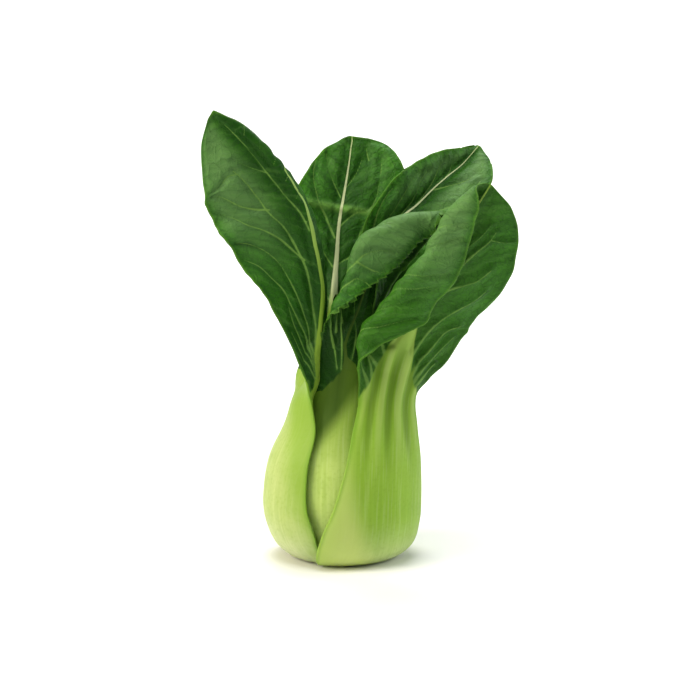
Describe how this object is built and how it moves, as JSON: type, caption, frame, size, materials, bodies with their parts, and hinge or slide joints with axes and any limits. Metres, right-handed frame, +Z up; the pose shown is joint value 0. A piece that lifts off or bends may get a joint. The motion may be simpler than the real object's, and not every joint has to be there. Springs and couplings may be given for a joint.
{
  "type": "bok choy",
  "caption": "Head of baby bok choy standing on its cut base: thick pale green stalks swell into a bulb, and dark green blades open and fold above it.",
  "frame": {"origin": "centre of the stem's flat cut face, on the surface that the head stands on", "axes": "+Z up along the head, +X to the right and -Y to the front, where the folded front leaves face"},
  "size_m": [0.1229, 0.067, 0.1784],
  "materials": {
    "stem": "freshly cut, dull and slightly moist stem end",
    "stalk": "waxy fresh stalk skin, pale green, soft sheen",
    "blade": "dark green leaf surface, satin, veined"
  },
  "bodies": {
    "root": {"stem": "stem", "leaf_front_right_stalk": "stalk", "leaf_front_right_blade": "blade", "leaf_left_stalk": "stalk", "leaf_left_blade": "blade", "leaf_back_right_stalk": "stalk", "leaf_back_right_blade": "blade", "leaf_front_stalk": "stalk", "leaf_front_blade": "blade", "leaf_back_stalk": "stalk", "leaf_back_blade": "blade", "leaf_heart_1_stalk": "stalk", "leaf_heart_1_blade": "blade", "leaf_heart_2_stalk": "stalk", "leaf_heart_2_blade": "blade", "leaf_heart_3_stalk": "stalk", "leaf_heart_3_blade": "blade", "leaf_heart_4_stalk": "stalk", "leaf_heart_4_blade": "blade", "leaf_heart_5_stalk": "stalk", "leaf_heart_5_blade": "blade"}
  },
  "joints": []
}
